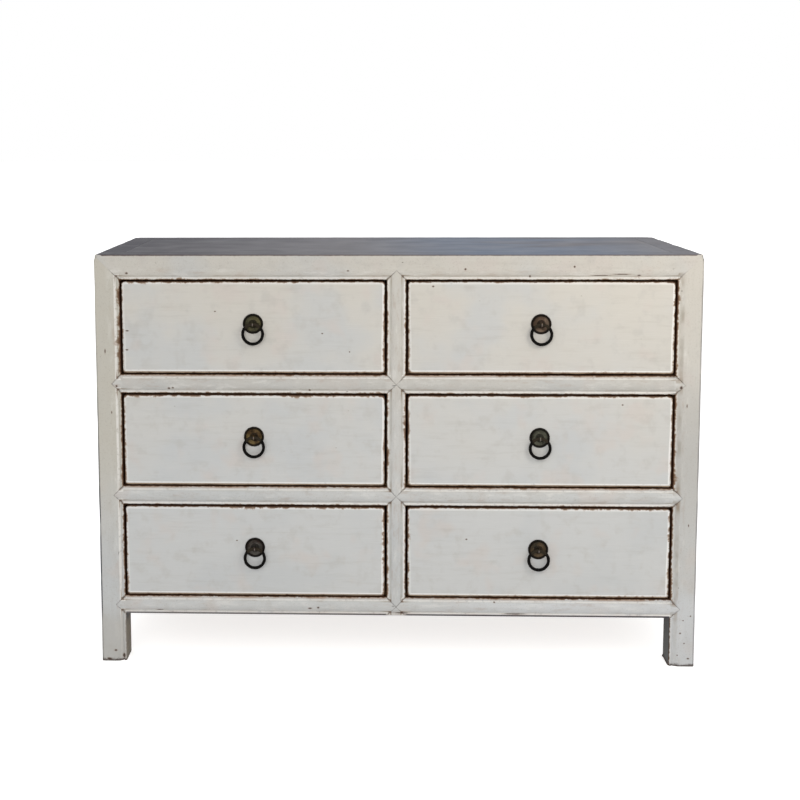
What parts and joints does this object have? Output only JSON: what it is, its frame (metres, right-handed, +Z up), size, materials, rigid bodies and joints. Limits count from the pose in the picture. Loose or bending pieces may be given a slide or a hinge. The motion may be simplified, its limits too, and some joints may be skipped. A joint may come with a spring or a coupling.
{
  "type": "chest of drawers",
  "caption": "Wide wooden chest of drawers with a moulded frame-and-panel carcass, flush top, square legs and ring pulls on round plates.",
  "frame": {"origin": "middle of the overall box, on the floor under the chest", "axes": "+X to the right as seen from the front, +Y to the back, +Z up; the drawers open towards -Y"},
  "size_m": [1.22, 0.4538, 0.848],
  "materials": {
    "painted_wood": "hand-rubbed off-white paint worn to brown wood at the edges",
    "top_finish": "dark grey-brown lacquer with long worn grain",
    "bare_wood": "unfinished elm, dry and matt",
    "aged_brass": "aged brass, dark at the rim",
    "dark_metal": "blackened metal with a soft sheen"
  },
  "bodies": {
    "carcass": {"post_front_left": "painted_wood", "post_front_right": "painted_wood", "post_back_left": "painted_wood", "post_back_right": "painted_wood", "top_rail_front": "painted_wood", "top_rail_back": "painted_wood", "top_rail_left": "painted_wood", "top_rail_right": "painted_wood", "top_panel": "top_finish", "top_battens": "bare_wood", "front_rail_bottom": "painted_wood", "front_rail_lower": "painted_wood", "front_rail_upper": "painted_wood", "front_muntins": "painted_wood", "side_panel_left": "painted_wood", "side_panel_right": "painted_wood", "bottom_rail_left": "painted_wood", "bottom_rail_right": "painted_wood", "bottom_rail_back": "painted_wood", "back_stile": "painted_wood", "back_panels": "painted_wood", "drawer_bearers": "bare_wood", "drawer_guides": "bare_wood", "drawer_stops": "bare_wood"},
    "drawer_bottom_left": {"drawer_bottom_left_front": "painted_wood", "drawer_bottom_left_sides": "bare_wood", "drawer_bottom_left_back": "bare_wood", "drawer_bottom_left_bottom": "bare_wood", "drawer_bottom_left_pull": "aged_brass"},
    "drawer_bottom_left_ring": {"drawer_bottom_left_ring": "dark_metal"},
    "drawer_bottom_right": {"drawer_bottom_right_front": "painted_wood", "drawer_bottom_right_sides": "bare_wood", "drawer_bottom_right_back": "bare_wood", "drawer_bottom_right_bottom": "bare_wood", "drawer_bottom_right_pull": "aged_brass"},
    "drawer_bottom_right_ring": {"drawer_bottom_right_ring": "dark_metal"},
    "drawer_middle_left": {"drawer_middle_left_front": "painted_wood", "drawer_middle_left_sides": "bare_wood", "drawer_middle_left_back": "bare_wood", "drawer_middle_left_bottom": "bare_wood", "drawer_middle_left_pull": "aged_brass"},
    "drawer_middle_left_ring": {"drawer_middle_left_ring": "dark_metal"},
    "drawer_middle_right": {"drawer_middle_right_front": "painted_wood", "drawer_middle_right_sides": "bare_wood", "drawer_middle_right_back": "bare_wood", "drawer_middle_right_bottom": "bare_wood", "drawer_middle_right_pull": "aged_brass"},
    "drawer_middle_right_ring": {"drawer_middle_right_ring": "dark_metal"},
    "drawer_top_left": {"drawer_top_left_front": "painted_wood", "drawer_top_left_sides": "bare_wood", "drawer_top_left_back": "bare_wood", "drawer_top_left_bottom": "bare_wood", "drawer_top_left_pull": "aged_brass"},
    "drawer_top_left_ring": {"drawer_top_left_ring": "dark_metal"},
    "drawer_top_right": {"drawer_top_right_front": "painted_wood", "drawer_top_right_sides": "bare_wood", "drawer_top_right_back": "bare_wood", "drawer_top_right_bottom": "bare_wood", "drawer_top_right_pull": "aged_brass"},
    "drawer_top_right_ring": {"drawer_top_right_ring": "dark_metal"}
  },
  "joints": [
    {"name": "drawer_bottom_left_slide", "type": "slide", "parent": "carcass", "child": "drawer_bottom_left", "axis": [0, -1, 0], "range_m": [0, 0.28]},
    {"name": "drawer_bottom_left_ring_swing", "type": "hinge", "parent": "drawer_bottom_left", "child": "drawer_bottom_left_ring", "pos_m": [-0.28925, -0.22093, 0.2445], "axis": [-1, 0, 0], "range_deg": [-7, 170]},
    {"name": "drawer_bottom_right_slide", "type": "slide", "parent": "carcass", "child": "drawer_bottom_right", "axis": [0, -1, 0], "range_m": [0, 0.28]},
    {"name": "drawer_bottom_right_ring_swing", "type": "hinge", "parent": "drawer_bottom_right", "child": "drawer_bottom_right_ring", "pos_m": [0.28925, -0.22093, 0.2445], "axis": [-1, 0, 0], "range_deg": [-7, 170]},
    {"name": "drawer_middle_left_slide", "type": "slide", "parent": "carcass", "child": "drawer_middle_left", "axis": [0, -1, 0], "range_m": [0, 0.28]},
    {"name": "drawer_middle_left_ring_swing", "type": "hinge", "parent": "drawer_middle_left", "child": "drawer_middle_left_ring", "pos_m": [-0.28925, -0.22093, 0.4765], "axis": [-1, 0, 0], "range_deg": [-7, 170]},
    {"name": "drawer_middle_right_slide", "type": "slide", "parent": "carcass", "child": "drawer_middle_right", "axis": [0, -1, 0], "range_m": [0, 0.28]},
    {"name": "drawer_middle_right_ring_swing", "type": "hinge", "parent": "drawer_middle_right", "child": "drawer_middle_right_ring", "pos_m": [0.28925, -0.22093, 0.4765], "axis": [-1, 0, 0], "range_deg": [-7, 170]},
    {"name": "drawer_top_left_slide", "type": "slide", "parent": "carcass", "child": "drawer_top_left", "axis": [0, -1, 0], "range_m": [0, 0.28]},
    {"name": "drawer_top_left_ring_swing", "type": "hinge", "parent": "drawer_top_left", "child": "drawer_top_left_ring", "pos_m": [-0.28925, -0.22093, 0.7085], "axis": [-1, 0, 0], "range_deg": [-7, 170]},
    {"name": "drawer_top_right_slide", "type": "slide", "parent": "carcass", "child": "drawer_top_right", "axis": [0, -1, 0], "range_m": [0, 0.28]},
    {"name": "drawer_top_right_ring_swing", "type": "hinge", "parent": "drawer_top_right", "child": "drawer_top_right_ring", "pos_m": [0.28925, -0.22093, 0.7085], "axis": [-1, 0, 0], "range_deg": [-7, 170]}
  ]
}
